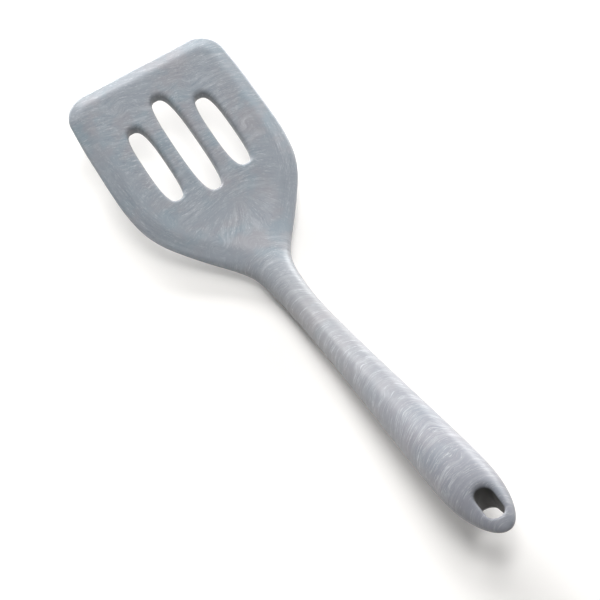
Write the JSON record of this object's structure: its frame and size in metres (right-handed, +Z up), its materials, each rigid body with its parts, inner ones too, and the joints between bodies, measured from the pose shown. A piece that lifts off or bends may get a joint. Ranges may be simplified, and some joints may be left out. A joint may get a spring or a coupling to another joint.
{
  "type": "slotted spatula",
  "caption": "Small slotted turner: flat bevelled blade with long slots, an upswept round handle and a hanging hole, in soft silicone moulded over a stiff core.",
  "frame": {"origin": "on the surface that it rests on, under the middle of the spatula's length, in its plane of symmetry", "axes": "+Y from the handle towards the blade's front edge, +X across the blade to its right, +Z up, with the spatula balanced on the heel of its bend"},
  "size_m": [0.055, 0.2077, 0.027],
  "materials": {
    "silicone": "soft matte grey with fine pale marbled streaks",
    "core_nylon": "natural glass-filled nylon, matte"
  },
  "bodies": {
    "root": {"silicone_body": "silicone", "core": "core_nylon"}
  },
  "joints": []
}
